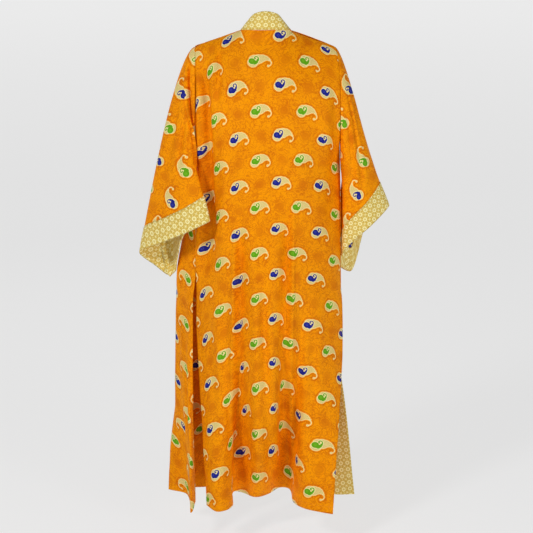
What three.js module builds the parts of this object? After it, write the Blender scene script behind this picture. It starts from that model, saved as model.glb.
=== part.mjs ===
// A kimono robe, hanging open as a wearer fills it: straight back panel, two fronts with side
// slits, deep tubular sleeves with turned cuffs, and a contrast collar that runs on as front bands.
// Millimetres, +Z up. The garment faces -Y, so its back faces +Y, and the wearer's left is +X.
// The origin is the middle of the neck opening, level with the back neck seam.
// Heights in the tables (h) are measured up from the lowest hem.

import * as THREE from "three";

// ---- driving dimensions -------------------------------------------------------------------
const neckHeight = 1319; // back neck seam above the lowest hem
const shoulderHeight = { 1: 1274, [-1]: 1271 }; // outer end of each shoulder seam, left and right
const shoulderHalf = 190; // neck centre to the sleeve seam, either side
const neckHalf = 66; // neck centre to the neck end of the shoulder seam
const underarmHeight = 970;
const armholeDepth = 300; // underarm straight up to the shoulder seam
const armholeHalfGap = 48; // how far the armhole stands open, front and back of its middle
const yokeHeight = 1150; // where the panels hang straight down from the shoulder blades
const bandWidth = 60; // collar and front bands
const cuffWidth = 69;
const clothWall = 2;
const bandWall = 3; // the bands and cuffs are folded double
const seamGap = 0.3; // every piece stands this far from the next along a seam
const rimStep = 2; // the first and last steps across a piece of cloth

// ---- colours ------------------------------------------------------------------------------
const orangeCloth = { color: 0xf0890c, roughness: 0.62, metalness: 0 };
const mustardCloth = { color: 0xcdb04a, roughness: 0.68, metalness: 0 };

// ---- small helpers ------------------------------------------------------------------------
const clamp01 = (v) => Math.min(1, Math.max(0, v));
const mix = (a, b, t) => a + (b - a) * t;
const smooth = (v) => clamp01(v) ** 2 * (3 - 2 * clamp01(v));
const vec = (x, y, h) => new THREE.Vector3(x, y, h - neckHeight);

// Shares from 0 to 1 in even steps, with one more close to each end, so that an edge's rim is square.
function sharesWithRims(steps, length) {
  const rim = rimStep / length;
  const shares = [0, rim];
  for (let i = 1; i < steps; i += 1) shares.push(i / steps);
  return [...shares, 1 - rim, 1];
}

// A smooth line through points, with its length measured finely enough to share it out evenly.
function lineThrough(points, closed = false) {
  const line = new THREE.CatmullRomCurve3(points, closed, "centripetal");
  line.arcLengthDivisions = 240;
  return line;
}

// Column values of a table at one height, blended smoothly from row to row.
function tableAt(rows, h, read) {
  const last = rows.length - 1;
  if (h >= rows[0].h) return read(rows[0]);
  if (h <= rows[last].h) return read(rows[last]);
  let i = 0;
  while (h < rows[i + 1].h) i += 1;
  const rise = (k) => (read(rows[k + 1]) - read(rows[k])) / (rows[k + 1].h - rows[k].h);
  const slope = (k) => {
    if (k === 0) return rise(0);
    if (k === last) return rise(last - 1);
    const [above, below] = [rise(k - 1), rise(k)];
    return above * below <= 0 ? 0 : (2 * above * below) / (above + below); // never overshoots a row
  };
  const span = rows[i + 1].h - rows[i].h;
  const t = (h - rows[i].h) / span;
  const a = read(rows[i]);
  const b = read(rows[i + 1]);
  const startPull = (2 * t ** 3 - 3 * t ** 2 + 1) * a + (t ** 3 - 2 * t ** 2 + t) * span * slope(i);
  const endPull = (3 * t ** 2 - 2 * t ** 3) * b + (t ** 3 - t ** 2) * span * slope(i + 1);
  return startPull + endPull;
}

// ---- cloth walls --------------------------------------------------------------------------
// A grid of points (rows of columns) becomes a closed wall, half its thickness to each side.
// With closed, the last column joins the first, as round a sleeve.
function clothWallFrom(grid, wall, closed = false) {
  const rows = grid.length;
  const columns = grid[0].length;
  const at = (r, c) => grid[r][closed ? (c + columns) % columns : Math.min(columns - 1, Math.max(0, c))];
  const positions = [];
  for (const side of [0.5, -0.5])
    for (let r = 0; r < rows; r += 1)
      for (let c = 0; c < columns; c += 1) {
        const down = at(Math.min(rows - 1, r + 1), c).clone().sub(at(Math.max(0, r - 1), c));
        const along = at(r, c + 1).clone().sub(at(r, c - 1));
        const normal = along.cross(down).normalize();
        const point = grid[r][c].clone().addScaledVector(normal, side * wall);
        positions.push(point.x, point.y, point.z);
      }
  const layer = rows * columns;
  const id = (s, r, c) => s * layer + r * columns + ((c + columns) % columns);
  const faces = [];
  const quad = (a, b, c, d) => faces.push(a, b, c, a, c, d);
  const steps = closed ? columns : columns - 1;
  for (let r = 0; r < rows - 1; r += 1)
    for (let c = 0; c < steps; c += 1) {
      quad(id(0, r, c), id(0, r + 1, c), id(0, r + 1, c + 1), id(0, r, c + 1));
      quad(id(1, r, c), id(1, r, c + 1), id(1, r + 1, c + 1), id(1, r + 1, c));
    }
  for (let c = 0; c < steps; c += 1) {
    quad(id(0, 0, c), id(0, 0, c + 1), id(1, 0, c + 1), id(1, 0, c));
    quad(id(0, rows - 1, c), id(1, rows - 1, c), id(1, rows - 1, c + 1), id(0, rows - 1, c + 1));
  }
  if (!closed)
    for (let r = 0; r < rows - 1; r += 1) {
      quad(id(0, r, 0), id(1, r, 0), id(1, r + 1, 0), id(0, r + 1, 0));
      const c = columns - 1;
      quad(id(0, r, c), id(0, r + 1, c), id(1, r + 1, c), id(1, r, c));
    }
  const geometry = new THREE.BufferGeometry();
  geometry.setAttribute("position", new THREE.Float32BufferAttribute(positions, 3));
  geometry.setIndex(faceOutwards(positions, faces));
  geometry.computeVertexNormals();
  return geometry;
}

// Turns every face round if the wall came out inside out.
function faceOutwards(positions, faces) {
  const corner = (i) => new THREE.Vector3().fromArray(positions, 3 * i);
  let volume = 0;
  for (let i = 0; i < faces.length; i += 3)
    volume += corner(faces[i]).dot(corner(faces[i + 1]).cross(corner(faces[i + 2])));
  if (volume >= 0) return faces;
  for (let i = 0; i < faces.length; i += 3) [faces[i + 1], faces[i + 2]] = [faces[i + 2], faces[i + 1]];
  return faces;
}

function piece(name, geometry, look) {
  const mesh = new THREE.Mesh(geometry, new THREE.MeshStandardMaterial(look));
  mesh.name = name;
  return mesh;
}

// ---- the body's outline -------------------------------------------------------------------
// left and right: where the side seams run; back: how far the middle of the back stands out.
const bodyRows = [
  { h: 1150, left: 190, right: -198, back: 104 },
  { h: 970, left: 192, right: -200, back: 110 },
  { h: 860, left: 193, right: -202, back: 106 },
  { h: 650, left: 195, right: -206, back: 111 },
  { h: 560, left: 196, right: -211, back: 114 },
  { h: 370, left: 196, right: -212, back: 118 },
  { h: 0, left: 196, right: -211, back: 120 },
];

const sideSeamX = (side, h) => tableAt(bodyRows, h, (row) => (side > 0 ? row.left : row.right));

// How far the armhole's edges stand apart from its middle at a height.
function armholeGapAt(h) {
  const share = clamp01((h - underarmHeight) / armholeDepth);
  return armholeHalfGap * Math.sin(Math.PI * share) ** 0.7;
}

// ---- back panel ---------------------------------------------------------------------------
// One row for each ridge and trough of the back's hem, from the wearer's left edge to the right.
// across: share of the panel's width; x, y, lift: its place at the hem; rise: where it fades out.
const backHemFolds = [
  { across: 0.0, x: 167, y: 62, lift: 3, rise: 560 },
  { across: 0.07, x: 138, y: 108, lift: 0, rise: 560 },
  { across: 0.13, x: 115, y: 98, lift: 0, rise: 500 },
  { across: 0.2, x: 97, y: 58, lift: 0, rise: 480 },
  { across: 0.31, x: 93, y: -22, lift: 13, rise: 480 },
  { across: 0.37, x: 70, y: -26, lift: 9, rise: 420 },
  { across: 0.47, x: 32, y: 0, lift: 6, rise: 300 },
  { across: 0.56, x: -5, y: -20, lift: 8, rise: 360 },
  { across: 0.63, x: -40, y: -46, lift: 17, rise: 560 },
  { across: 0.68, x: -64, y: -42, lift: 15, rise: 620 },
  { across: 0.77, x: -78, y: 28, lift: 0, rise: 560 },
  { across: 0.84, x: -108, y: 78, lift: -2, rise: 480 },
  { across: 0.93, x: -155, y: 106, lift: -3, rise: 420 },
  { across: 1.0, x: -184, y: 118, lift: -4, rise: 420 },
];
const backRoundness = 2.5; // higher is a flatter middle with rounder sides
const foldFade = 1.25;

// The plain curve of the back at a height, with no folds: share 0 is the wearer's left edge.
function plainBack(h) {
  const left = sideSeamX(1, h);
  const right = sideSeamX(-1, h);
  const edge = armholeGapAt(h);
  const back = tableAt(bodyRows, h, (row) => row.back);
  const points = [];
  const steps = 24;
  for (let i = 0; i <= steps; i += 1) {
    const x = mix(left, right, i / steps);
    const reach = Math.abs((2 * i) / steps - 1);
    points.push(new THREE.Vector3(x, mix(back, edge, reach ** backRoundness), 0));
  }
  return lineThrough(points);
}

// The back's curve at a height, folds and all; z holds how far the hem is lifted there.
function backLineAt(h) {
  const plain = plainBack(h);
  return lineThrough(
    backHemFolds.map((fold) => {
      const start = plain.getPointAt(fold.across);
      const weight = clamp01(1 - h / fold.rise) ** foldFade;
      return new THREE.Vector3(
        mix(start.x, fold.x, weight),
        mix(start.y, fold.y, weight),
        fold.lift * weight,
      );
    }),
  );
}

// ---- front panels -------------------------------------------------------------------------
// One row for each section. The named places run from the side seam round to the front edge:
// side seam, turn, swell behind the side, side, corner, middle, band seam, free edge, each x, y.
// The last row is the hem, and a third number there is how far that place is lifted.
const leftFrontRows = [
  {
    h: 1150,
    seam: [190, -48], turn: [186, -60], swell: [179, -72], side: [166, -88],
    corner: [146, -100], middle: [122, -108], band: [98, -113], free: [42, -124],
  },
  {
    h: 970,
    seam: [192, 0], turn: [196, -13], swell: [200, -28], side: [202, -56],
    corner: [188, -96], middle: [150, -126], band: [104, -140], free: [45, -150],
  },
  {
    h: 860,
    seam: [193, 0], turn: [199, -14], swell: [205, -30], side: [210, -62],
    corner: [200, -105], middle: [160, -138], band: [106, -148], free: [47, -156],
  },
  {
    h: 650,
    seam: [197, 0], turn: [214, -12], swell: [229, -28], side: [250, -58],
    corner: [236, -108], middle: [178, -146], band: [112, -154], free: [52, -158],
  },
  {
    h: 560,
    seam: [205, 4], turn: [217, -6], swell: [231, -24], side: [254, -60],
    corner: [240, -108], middle: [182, -145], band: [114, -152], free: [54, -156],
  },
  {
    h: 300,
    seam: [206, 22], turn: [216, 28], swell: [232, -12], side: [263, -62],
    corner: [254, -100], middle: [196, -128], band: [126, -140], free: [66, -146],
  },
  {
    h: 0,
    seam: [200, 34, 4], turn: [211, 76, -15], swell: [230, -36, 2], side: [284, -60, 7],
    corner: [272, -90, 2], middle: [200, -92, 2], band: [142, -108, 0], free: [84, -120, 0],
  },
];
const rightFrontRows = [
  {
    h: 1150,
    seam: [-198, -48], turn: [-192, -60], swell: [-184, -72], side: [-168, -88],
    corner: [-146, -100], middle: [-122, -108], band: [-98, -114], free: [-46, -140],
  },
  {
    h: 970,
    seam: [-200, 0], turn: [-200, -14], swell: [-199, -30], side: [-192, -62],
    corner: [-172, -104], middle: [-132, -130], band: [-86, -148], free: [-54, -198],
  },
  {
    h: 860,
    seam: [-202, 0], turn: [-200, -14], swell: [-198, -30], side: [-190, -64],
    corner: [-170, -108], middle: [-116, -138], band: [-72, -164], free: [-104, -212],
  },
  {
    h: 650,
    seam: [-206, 0], turn: [-203, -14], swell: [-199, -30], side: [-188, -68],
    corner: [-162, -110], middle: [-92, -142], band: [-88, -188], free: [-148, -192],
  },
  {
    h: 560,
    seam: [-207, -2], turn: [-204, -16], swell: [-198, -32], side: [-186, -68],
    corner: [-156, -108], middle: [-84, -138], band: [-100, -182], free: [-160, -176],
  },
  {
    h: 300,
    seam: [-192, 8], turn: [-192, -8], swell: [-188, -28], side: [-176, -62],
    corner: [-140, -96], middle: [-88, -122], band: [-164, -128], free: [-220, -98],
  },
  {
    h: 0,
    seam: [-148, 54, 0], turn: [-156, 36, 0], swell: [-160, 12, 0], side: [-156, -32, 0],
    corner: [-124, -72, 0], middle: [-80, -104, 2], band: [-195, -30, 2], free: [-253, -38, 0],
  },
];
const frontPlaces = ["seam", "turn", "swell", "side", "corner", "middle", "band", "free"];

// The front's curve at a height, from the side seam to the free edge of the band.
function frontLineAt(rows, h) {
  return lineThrough(
    frontPlaces.map((place) => {
      const column = (i) => tableAt(rows, h, (row) => row[place][i] ?? 0);
      return new THREE.Vector3(column(0), column(1), column(2));
    }),
  );
}

// The share of a front's curve that the panel takes: the rest, one band's width, is the band.
const panelShare = (line) => 1 - bandWidth / line.getLength();

const neckOffset = { 1: 3, [-1]: 1 }; // the neck hangs a little towards the wearer's left

// ---- yoke: the cloth that runs up over the shoulders --------------------------------------
// The shoulder seam of one side at a share of its length, from the sleeve to the neck.
function shoulderPoint(side, share) {
  const round = 10 * (1 - Math.min(1, share * 6)) ** 2; // it rounds over at the sleeve
  const x = mix(shoulderHalf, neckHalf, share) - 0.2 * round;
  return vec(side * x + neckOffset[side], 0, mix(shoulderHeight[side], neckHeight - 1, share ** 0.93));
}

// The top edge of the back panel: shoulder seam, neck seam, shoulder seam.
const backTopEdge = new THREE.CurvePath();
backTopEdge.add(lineThrough([0, 0.25, 0.5, 0.75, 1].map((share) => shoulderPoint(1, share))));
backTopEdge.add(
  lineThrough([
    shoulderPoint(1, 1),
    vec(66, 24, neckHeight),
    vec(42, 40, neckHeight),
    vec(0, 44, neckHeight),
    vec(-38, 40, neckHeight),
    vec(-62, 24, neckHeight),
    shoulderPoint(-1, 1),
  ]),
);
backTopEdge.add(lineThrough([1, 0.75, 0.5, 0.25, 0].map((share) => shoulderPoint(-1, share))));

const footPull = 62; // how far above the yoke line the cloth already hangs straight

// A curve from the top edge down to the yoke line, leaving the top along start.
function yokePath(top, start, foot, pull) {
  return new THREE.CubicBezierCurve3(
    top,
    top.clone().add(start),
    foot.clone().add(new THREE.Vector3(0, 0, pull)),
    foot,
  );
}

// ---- grids of the body panels -------------------------------------------------------------
const yokeSteps = 7;
const hangSteps = 18;
const ridgeGap = 0.25; // each side of the shoulder seam
const sideTrim = 0.6; // each side of the side seams, whose two walls meet at a slight angle

// Shares down the yoke, closer together over the shoulder.
const yokeShare = (r) => (r / yokeSteps) ** 1.6;

// Heights of the rows below the yoke line, closer together towards the hem.
const hangHeight = (r) => yokeHeight * (1 - (r / hangSteps) ** 0.93);

// A point of a section line at a share, at the height that its lift gives.
function sectionPoint(line, share, h) {
  const place = line.getPointAt(clamp01(share));
  return vec(place.x, place.y, h + place.z);
}

function backGrid(columns) {
  const grid = [];
  const yokeLine = backLineAt(yokeHeight);
  const shares = sharesWithRims(columns, yokeLine.getLength());
  const place = (line, share) => {
    const length = line.getLength();
    return mix(sideTrim, length - sideTrim, share) / length;
  };
  const topLength = backTopEdge.getLength();
  const neckShare = (share) => {
    const along = Math.min(share, 1 - share) * topLength;
    return smooth((along - 138) / 30); // 0 on the shoulder seams, 1 on the neck seam
  };
  for (let r = 0; r < yokeSteps; r += 1) {
    const row = shares.map((share) => {
      const onNeck = neckShare(share);
      const top = backTopEdge.getPointAt(share);
      top.y += ridgeGap;
      const start = new THREE.Vector3(0, mix(26, 14, onNeck), mix(-3, -44, onNeck));
      const foot = sectionPoint(yokeLine, place(yokeLine, share), yokeHeight);
      return yokePath(top, start, foot, footPull).getPoint(yokeShare(r));
    });
    grid.push(row);
  }
  for (let r = 0; r <= hangSteps; r += 1) {
    const h = hangHeight(r);
    const line = backLineAt(h);
    grid.push(shares.map((share) => sectionPoint(line, place(line, share), h)));
  }
  return grid;
}

// The panel of one front; its band follows from bandGrid.
function frontGrid(side, rows, columns) {
  const grid = [];
  const place = (line, share) => {
    const length = line.getLength();
    return mix(sideTrim, length - bandWidth - seamGap / 2, share) / length;
  };
  const yokeLine = frontLineAt(rows, yokeHeight);
  const shares = sharesWithRims(columns, yokeLine.getLength());
  for (let r = 0; r < yokeSteps; r += 1) {
    const row = shares.map((share) => {
      const top = shoulderPoint(side, share);
      top.y -= ridgeGap;
      const start = new THREE.Vector3(0, -26, -3);
      const foot = sectionPoint(yokeLine, place(yokeLine, share), yokeHeight);
      return yokePath(top, start, foot, footPull).getPoint(yokeShare(r));
    });
    grid.push(row);
  }
  for (let r = 0; r <= hangSteps; r += 1) {
    const h = hangHeight(r);
    const line = frontLineAt(rows, h);
    grid.push(shares.map((share) => sectionPoint(line, place(line, share), h)));
  }
  return grid;
}

// ---- collar and front bands ---------------------------------------------------------------
// One row for each rib of the collar, from the left neck point round the nape to the right:
// seam is where it is sewn on, free its upper edge; each is x, y, h.
const collarRibs = [
  { seam: [69, 0, 1318], free: [38, 20, 1356] },
  { seam: [67, 14, 1319], free: [35, 26, 1359] },
  { seam: [63, 28, 1319], free: [31, 30, 1361.5] },
  { seam: [38, 40, 1319], free: [18, 33, 1366] },
  { seam: [0, 44, 1319], free: [3, 35, 1368] },
  { seam: [-35, 40, 1319], free: [-13, 33, 1366] },
  { seam: [-58, 28, 1319], free: [-27, 30, 1361.5] },
  { seam: [-62, 14, 1319], free: [-31, 26, 1359] },
  { seam: [-65, 0, 1318], free: [-34, 20, 1356] },
];
const collarSeamGap = 1.5; // along the cloth, so that the bent seam still leaves the gap open
const collarTrim = 0.008; // share of its length that stays clear of each front band

function collarGrid(columns, depth) {
  const seam = lineThrough(collarRibs.map((rib) => vec(...rib.seam)));
  const free = lineThrough(collarRibs.map((rib) => vec(...rib.free)));
  const grid = [];
  for (let r = 0; r <= depth; r += 1)
    grid.push(
      sharesWithRims(columns, seam.getLength()).map((along) => {
        const share = mix(collarTrim, 1 - collarTrim, along);
        const low = seam.getPoint(share);
        const high = free.getPoint(share);
        const from = collarSeamGap / low.distanceTo(high);
        return low.lerp(high, mix(from, 1, r / depth));
      }),
    );
  return grid;
}

// A front band: over the shoulder it leans from the panel's edge as the collar does, and from
// the yoke line down it is the last stretch of the front's own curve.
function bandGrid(side, rows, panel, across) {
  const grid = [];
  const rib = side > 0 ? collarRibs[0] : collarRibs[collarRibs.length - 1];
  const collarLean = vec(...rib.free).sub(vec(...rib.seam)).setLength(bandWidth - 8);
  const yokeLine = frontLineAt(rows, yokeHeight);
  const yokeEdge = sectionPoint(yokeLine, panelShare(yokeLine), yokeHeight);
  const yokeLean = sectionPoint(yokeLine, 1, yokeHeight).sub(yokeEdge);
  const last = panel[0].length - 1;
  const shares = sharesWithRims(across, bandWidth);
  for (let r = 0; r < yokeSteps; r += 1) {
    const share = yokeShare(r);
    const edge = panel[r][last];
    const lean = collarLean.clone().lerp(yokeLean, smooth(share * 1.05));
    const from = mix(collarSeamGap, seamGap, share) / lean.length();
    const start = edge.clone();
    if (r === 0) start.y -= seamGap;
    grid.push(shares.map((along) => start.clone().addScaledVector(lean, mix(from, 1, along))));
  }
  for (let r = 0; r <= hangSteps; r += 1) {
    const h = hangHeight(r);
    const line = frontLineAt(rows, h);
    const from = panelShare(line) + (1.5 * seamGap) / line.getLength();
    grid.push(shares.map((along) => sectionPoint(line, mix(from, 1, along), h)));
  }
  return grid;
}

// ---- sleeves ------------------------------------------------------------------------------
// One row for each place round the cuff's edge, from the outer fold by the back: x, y, h.
// lean: how far the cloth runs sideways and back for each millimetre up from there.
// overShoulder and underArm: how the cloth leaves the armhole at its top and at its bottom.
const leftSleeve = {
  overShoulder: { out: 48, down: 8 },
  underArm: { out: 12, down: 60 },
  cuffPlaces: [
    { place: "outer fold", x: 353, y: -30, h: 708, lean: [-0.2, 0.02] },
    { place: "back, outer", x: 291.5, y: 30, h: 743.5, lean: [-0.14, 0] },
    { place: "back, inner", x: 220.5, y: 70, h: 780, lean: [0, -0.02] },
    { place: "inner fold", x: 153, y: 87, h: 823, lean: [0.2, -0.1] },
    { place: "under the arm", x: 200, y: 44, h: 806, lean: [0, -0.2] },
    { place: "beside the body", x: 236, y: -10, h: 745, lean: [-0.1, -0.1] },
    { place: "by the low corner", x: 252, y: -42, h: 676, lean: [-0.05, -0.05] },
    { place: "low corner", x: 268, y: -70, h: 633, lean: [-0.02, -0.05] },
    { place: "front", x: 314, y: -64, h: 666, lean: [-0.16, -0.05] },
  ],
};
const rightSleeve = {
  overShoulder: { out: 36, down: 40 },
  underArm: { out: 5, down: 60 },
  cuffPlaces: [
    { place: "outer fold", x: -338, y: -20, h: 842, lean: [0.46, 0] },
    { place: "back, outer", x: -284, y: 22, h: 789, lean: [0.12, 0.05] },
    { place: "back, inner", x: -243, y: 18, h: 753, lean: [0, 0.1] },
    { place: "inner fold", x: -213, y: 4, h: 716, lean: [0, 0.1] },
    { place: "under the arm", x: -212, y: -32, h: 684, lean: [0, 0] },
    { place: "by the low corner", x: -218, y: -66, h: 658, lean: [-0.05, 0] },
    { place: "low corner", x: -241, y: -92, h: 645, lean: [0, 0.05] },
    { place: "front", x: -290, y: -74, h: 812, lean: [0.5, 0] },
  ],
};
const shoulderGap = 1.4; // between a sleeve and the body at the shoulder, along the cloth
const underArmGap = 2.7; // and under the arm, where the two walls run side by side
const aroundSteps = 32;

function armholeRing(side, back, front) {
  const edge = side > 0 ? 0 : back[0].length - 1;
  const rowsToUnderarm = back.filter((row) => row[edge].z > underarmHeight - neckHeight).length;
  const down = back.slice(0, rowsToUnderarm).map((row) => row[edge]);
  const up = front.slice(0, rowsToUnderarm).map((row) => row[0]).reverse();
  const under = vec(sideSeamX(side, underarmHeight), 0, underarmHeight);
  const top = down[0].clone().lerp(up[up.length - 1], 0.5);
  return lineThrough([top, ...down.slice(1), under, ...up.slice(0, -1)], true);
}

// The lines that run along a sleeve, one for each step round it.
function sleeveLines(side, back, front, { overShoulder, underArm, cuffPlaces }) {
  const ring = armholeRing(side, back, front);
  const cuff = lineThrough(
    cuffPlaces.map(({ x, y, h }) => vec(x, y, h)),
    true,
  );
  const leans = lineThrough(
    cuffPlaces.map(({ lean }) => new THREE.Vector3(lean[0], lean[1], 1)),
    true,
  );
  const lines = [];
  for (let i = 0; i < aroundSteps; i += 1) {
    const share = i / aroundSteps;
    const over = (1 + Math.cos(2 * Math.PI * share)) / 2; // 1 on the shoulder, 0 under the arm
    const start = ring.getPointAt(share);
    start.x += side * mix(underArmGap, shoulderGap, over);
    const end = cuff.getPointAt(share);
    const lean = leans.getPoint(cuff.getUtoTmapping(share));
    const leave = new THREE.Vector3(
      side * mix(underArm.out, overShoulder.out, over),
      0,
      -mix(underArm.down, overShoulder.down, over),
    );
    const reach = 0.36 * start.distanceTo(end);
    lines.push(
      new THREE.CubicBezierCurve3(
        start,
        start.clone().add(leave),
        end.clone().addScaledVector(lean, reach),
        end,
      ),
    );
  }
  return lines;
}

// Rows round the sleeve between two distances along its lines; a distance under 0 is measured
// back from the cuff's edge.
function sleeveRows(lines, from, to, steps) {
  const shares = sharesWithRims(steps, 60 * steps);
  return shares.map((share) =>
    lines.map((line) => {
      const length = line.getLength();
      const start = from < 0 ? length + from : from;
      const end = to <= 0 ? length + to : to;
      return line.getPointAt(clamp01(mix(start, end, share) / length));
    }),
  );
}

// ---- assembly -----------------------------------------------------------------------------
const kimono = new THREE.Group();
kimono.name = "kimono";
const body = new THREE.Group();
const trim = new THREE.Group();
const sleeves = new THREE.Group();
kimono.add(body, trim, sleeves);

const back = backGrid(36);
body.add(piece("back_panel", clothWallFrom(back, clothWall), orangeCloth));
trim.add(piece("collar", clothWallFrom(collarGrid(20, 3), bandWall), mustardCloth));

for (const [name, side, rows, shape] of [
  ["left", 1, leftFrontRows, leftSleeve],
  ["right", -1, rightFrontRows, rightSleeve],
]) {
  const front = frontGrid(side, rows, 22);
  body.add(piece("front_" + name, clothWallFrom(front, clothWall), orangeCloth));
  const band = bandGrid(side, rows, front, 2);
  trim.add(piece("front_band_" + name, clothWallFrom(band, bandWall), mustardCloth));
  const lines = sleeveLines(side, back, front, shape);
  const sleeve = sleeveRows(lines, 0, -cuffWidth - seamGap / 2, 9);
  sleeves.add(piece("sleeve_" + name, clothWallFrom(sleeve, clothWall, true), orangeCloth));
  const cuff = sleeveRows(lines, 1.5 * seamGap - cuffWidth, 0, 2);
  sleeves.add(piece("cuff_" + name, clothWallFrom(cuff, bandWall, true), mustardCloth));
}

export default kimono;
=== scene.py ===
import math

import bpy
import numpy as np
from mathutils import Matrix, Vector


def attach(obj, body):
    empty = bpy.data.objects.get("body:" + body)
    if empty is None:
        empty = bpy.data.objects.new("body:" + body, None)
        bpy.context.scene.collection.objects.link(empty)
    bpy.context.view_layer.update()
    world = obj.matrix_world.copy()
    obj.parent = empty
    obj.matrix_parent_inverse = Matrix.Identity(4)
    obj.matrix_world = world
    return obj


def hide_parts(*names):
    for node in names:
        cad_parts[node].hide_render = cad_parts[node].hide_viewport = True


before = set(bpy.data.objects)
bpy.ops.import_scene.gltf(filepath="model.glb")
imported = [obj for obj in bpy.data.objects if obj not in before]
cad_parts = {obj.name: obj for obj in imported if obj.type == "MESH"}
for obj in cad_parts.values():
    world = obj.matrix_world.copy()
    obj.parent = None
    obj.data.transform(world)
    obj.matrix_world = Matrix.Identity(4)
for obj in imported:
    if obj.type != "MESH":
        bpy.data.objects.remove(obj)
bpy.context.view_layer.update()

# Lengths in the tables are millimetres. Heights (h) run up from the lowest hem, x is towards the
# wearer's left, y towards the back. Meshes are made in metres from the neck, as the frame is.
garment = {
    "neckHeight": 1319,
    "shoulderHeight": {1: 1274, -1: 1271},
    "shoulderHalf": 190,
    "neckHalf": 66,
    "neckOffset": {1: 3, -1: 1},
    "underarmHeight": 970,
    "armholeDepth": 300,
    "armholeHalfGap": 48,
    "yokeHeight": 1150,
    "bandWidth": 60,
    "cuffWidth": 69,
    "bodyMiddleY": -20,
    "slitTop": 560,
    "hemDepth": 22,
}

printRepeat = {"across": 117.0, "down": 128.5}  # half-drop repeat of the paisley, both colours


# A smooth line through all the points, without overshooting where they lie close.
def smoothLine(points, closed=False, perSpan=16):
    p = np.asarray(points, float)
    ends = (p[-1:], p[:2]) if closed else (2 * p[0] - p[1], 2 * p[-1] - p[-2])
    knots = np.vstack([ends[0], p, ends[1]])
    spans = len(p) if closed else len(p) - 1
    gaps = np.maximum(np.linalg.norm(np.diff(knots, axis=0), axis=1) ** 0.5, 1e-4)
    t = np.linspace(0, 1, perSpan, endpoint=False)[:, None]
    out = []
    for i in range(spans):
        a, b, c, d = knots[i:i + 4]
        g0, g1, g2 = gaps[i:i + 3]
        leave = ((b - a) / g0 - (c - a) / (g0 + g1) + (c - b) / g1) * g1
        arrive = ((c - b) / g1 - (d - b) / (g1 + g2) + (d - c) / g2) * g1
        out.append(b + leave * t + (3 * (c - b) - 2 * leave - arrive) * t**2
                   + (2 * (b - c) + leave + arrive) * t**3)
    out.append(p[:1] if closed else p[-1:])
    return np.vstack(out)


# The lengths run along one axis of a line or a sheet, from its first point.
def lengthsAlong(points, axis=0):
    steps = np.linalg.norm(np.diff(points, axis=axis), axis=-1)
    return np.concatenate([np.zeros_like(np.take(steps, [0], axis)), np.cumsum(steps, axis)], axis)


# The points at given shares of a line's length.
def pointsAt(line, shares):
    run = lengthsAlong(line)
    reach = np.clip(shares, 0, 1) * run[-1]
    return np.stack([np.interp(reach, run, line[:, k]) for k in range(line.shape[1])], 1)


def lineLength(line):
    return lengthsAlong(line)[-1]


def unit(v):
    return v / np.maximum(np.linalg.norm(v, axis=-1, keepdims=True), 1e-9)


# A table's values at one height, blended smoothly and never past a row.
def tableAt(heights, values, h):
    v = np.asarray(values, float)
    last = len(heights) - 1
    if h >= heights[0]:
        return v[0]
    if h <= heights[last]:
        return v[last]
    i = 0
    while h < heights[i + 1]:
        i += 1
    rise = lambda k: (v[k + 1] - v[k]) / (heights[k + 1] - heights[k])

    def slope(k):
        if k == 0:
            return rise(0)
        if k == last:
            return rise(last - 1)
        above, below = rise(k - 1), rise(k)
        both = above + below
        return np.where(above * below <= 0, 0.0, 2 * above * below / np.where(both == 0, 1.0, both))

    span = heights[i + 1] - heights[i]
    t = (h - heights[i]) / span
    start = (2 * t**3 - 3 * t**2 + 1) * v[i] + (t**3 - 2 * t**2 + t) * span * slope(i)
    end = (3 * t**2 - 2 * t**3) * v[i + 1] + (t**3 - t**2) * span * slope(i + 1)
    return start + end


def smoothStep(v):
    v = np.clip(v, 0, 1)
    return v * v * (3 - 2 * v)


def at(x, y, h):
    return np.array([x, y, h - garment["neckHeight"]], float)


bodyRows = {
    "h": [1150, 970, 860, 650, 560, 370, 0],
    "left": [190, 192, 193, 195, 196, 196, 196],
    "right": [-198, -200, -202, -206, -211, -212, -211],
    "back": [104, 110, 106, 111, 114, 118, 120],
}

backHemFolds = [  # across, x, y, lift, rise
    (0.0, 167, 62, 3, 560),
    (0.07, 138, 108, 0, 560),
    (0.13, 115, 98, 0, 500),
    (0.2, 97, 58, 0, 480),
    (0.31, 93, -22, 13, 480),
    (0.37, 70, -26, 9, 420),
    (0.47, 32, 0, 6, 300),
    (0.56, -5, -20, 8, 360),
    (0.63, -40, -46, 17, 560),
    (0.68, -64, -42, 15, 620),
    (0.77, -78, 28, 0, 560),
    (0.84, -108, 78, -2, 480),
    (0.93, -155, 106, -3, 420),
    (1.0, -184, 118, -4, 420),
]

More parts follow.
